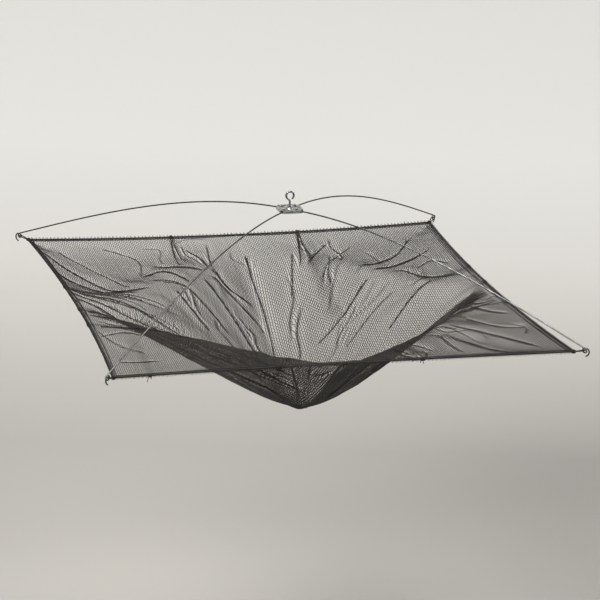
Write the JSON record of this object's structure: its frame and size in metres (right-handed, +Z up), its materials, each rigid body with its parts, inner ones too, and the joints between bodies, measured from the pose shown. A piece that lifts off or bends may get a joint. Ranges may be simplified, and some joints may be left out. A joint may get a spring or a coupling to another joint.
{
  "type": "umbrella minnow net",
  "caption": "Square bait net that hangs from a ring: bowed spring-wire arms fold up from a pressed steel hub and spread a fine black net into a sagging bag.",
  "frame": {"origin": "centre of the hanging ring, from which the net hangs", "axes": "+Z up along the ring's shank, +X to the right and +Y to the back, along the net's sides"},
  "size_m": [0.9652, 0.9652, 0.4671],
  "materials": {
    "zinc_plate": "bright zinc plate, satin, with rubbed edges",
    "bright_wire": "drawn wire, bright zinc",
    "spring_wire": "drawn spring wire, dull zinc",
    "black_cord": "twisted nylon cord, matt black",
    "black_net": "knotless nylon netting, matt black"
  },
  "bodies": {
    "hub": {"hub_lower_half": "zinc_plate", "hub_upper_half": "zinc_plate", "hub_rivet": "zinc_plate", "net": "black_net", "rim_cord_back": "black_cord", "rim_cord_right": "black_cord", "rim_cord_front": "black_cord", "rim_cord_left": "black_cord", "tie_back_1": "black_cord", "tie_back_2": "black_cord", "tie_left_1": "black_cord", "tie_left_2": "black_cord", "tie_left_3": "black_cord", "tie_front_1": "black_cord", "tie_front_2": "black_cord", "tie_front_3": "black_cord", "tie_front_4": "black_cord", "tie_right_1": "black_cord", "tie_right_2": "black_cord", "tie_right_3": "black_cord"},
    "eye": {"hanging_eye": "bright_wire", "swivel_washer": "zinc_plate"},
    "arm_back_right": {"arm_1": "spring_wire"},
    "arm_back_left": {"arm_2": "spring_wire"},
    "arm_front_left": {"arm_3": "spring_wire"},
    "arm_front_right": {"arm_4": "spring_wire"},
    "corner_back_right": {"corner_cord_1": "black_cord", "corner_knot_1": "black_cord"},
    "corner_back_left": {"corner_cord_2": "black_cord", "corner_knot_2": "black_cord"},
    "corner_front_left": {"corner_cord_3": "black_cord", "corner_knot_3": "black_cord"},
    "corner_front_right": {"corner_cord_4": "black_cord", "corner_knot_4": "black_cord"}
  },
  "joints": [
    {"name": "eye_swivel", "type": "hinge", "parent": "hub", "child": "eye", "pos_m": [0, 0, -0.029], "axis": [0, 0, 1], "continuous": true},
    {"name": "arm_1_fold", "type": "hinge", "parent": "hub", "child": "arm_back_right", "pos_m": [0.01202, 0.01202, -0.029], "axis": [0.7071, -0.7071, 0], "range_deg": [0, 88], "deforming": ["net", "rim_cord_back", "rim_cord_right", "rim_cord_front", "rim_cord_left"]},
    {"name": "arm_2_fold", "type": "hinge", "parent": "hub", "child": "arm_back_left", "pos_m": [-0.01202, 0.01202, -0.029], "axis": [0.7071, 0.7071, 0], "range_deg": [0, 88]},
    {"name": "arm_3_fold", "type": "hinge", "parent": "hub", "child": "arm_front_left", "pos_m": [-0.01202, -0.01202, -0.029], "axis": [-0.7071, 0.7071, 0], "range_deg": [0, 88]},
    {"name": "arm_4_fold", "type": "hinge", "parent": "hub", "child": "arm_front_right", "pos_m": [0.01202, -0.01202, -0.029], "axis": [-0.7071, -0.7071, 0], "range_deg": [0, 88]},
    {"name": "corner_1_swing", "type": "hinge", "parent": "arm_back_right", "child": "corner_back_right", "pos_m": [0.47261, 0.47261, -0.2012], "axis": [0.7071, -0.7071, 0], "range_deg": [-22, 0]},
    {"name": "corner_2_swing", "type": "hinge", "parent": "arm_back_left", "child": "corner_back_left", "pos_m": [-0.47261, 0.47261, -0.2012], "axis": [0.7071, 0.7071, 0], "range_deg": [-22, 0]},
    {"name": "corner_3_swing", "type": "hinge", "parent": "arm_front_left", "child": "corner_front_left", "pos_m": [-0.47261, -0.47261, -0.2012], "axis": [-0.7071, 0.7071, 0], "range_deg": [-22, 0]},
    {"name": "corner_4_swing", "type": "hinge", "parent": "arm_front_right", "child": "corner_front_right", "pos_m": [0.47261, -0.47261, -0.2012], "axis": [-0.7071, -0.7071, 0], "range_deg": [-22, 0]}
  ],
  "couplings": [
    {"joint": "arm_2_fold", "follows": "arm_1_fold", "ratio": 1},
    {"joint": "arm_3_fold", "follows": "arm_1_fold", "ratio": 1},
    {"joint": "arm_4_fold", "follows": "arm_1_fold", "ratio": 1},
    {"joint": "corner_1_swing", "follows": "arm_1_fold", "ratio": -0.25},
    {"joint": "corner_2_swing", "follows": "arm_1_fold", "ratio": -0.25},
    {"joint": "corner_3_swing", "follows": "arm_1_fold", "ratio": -0.25},
    {"joint": "corner_4_swing", "follows": "arm_1_fold", "ratio": -0.25}
  ]
}
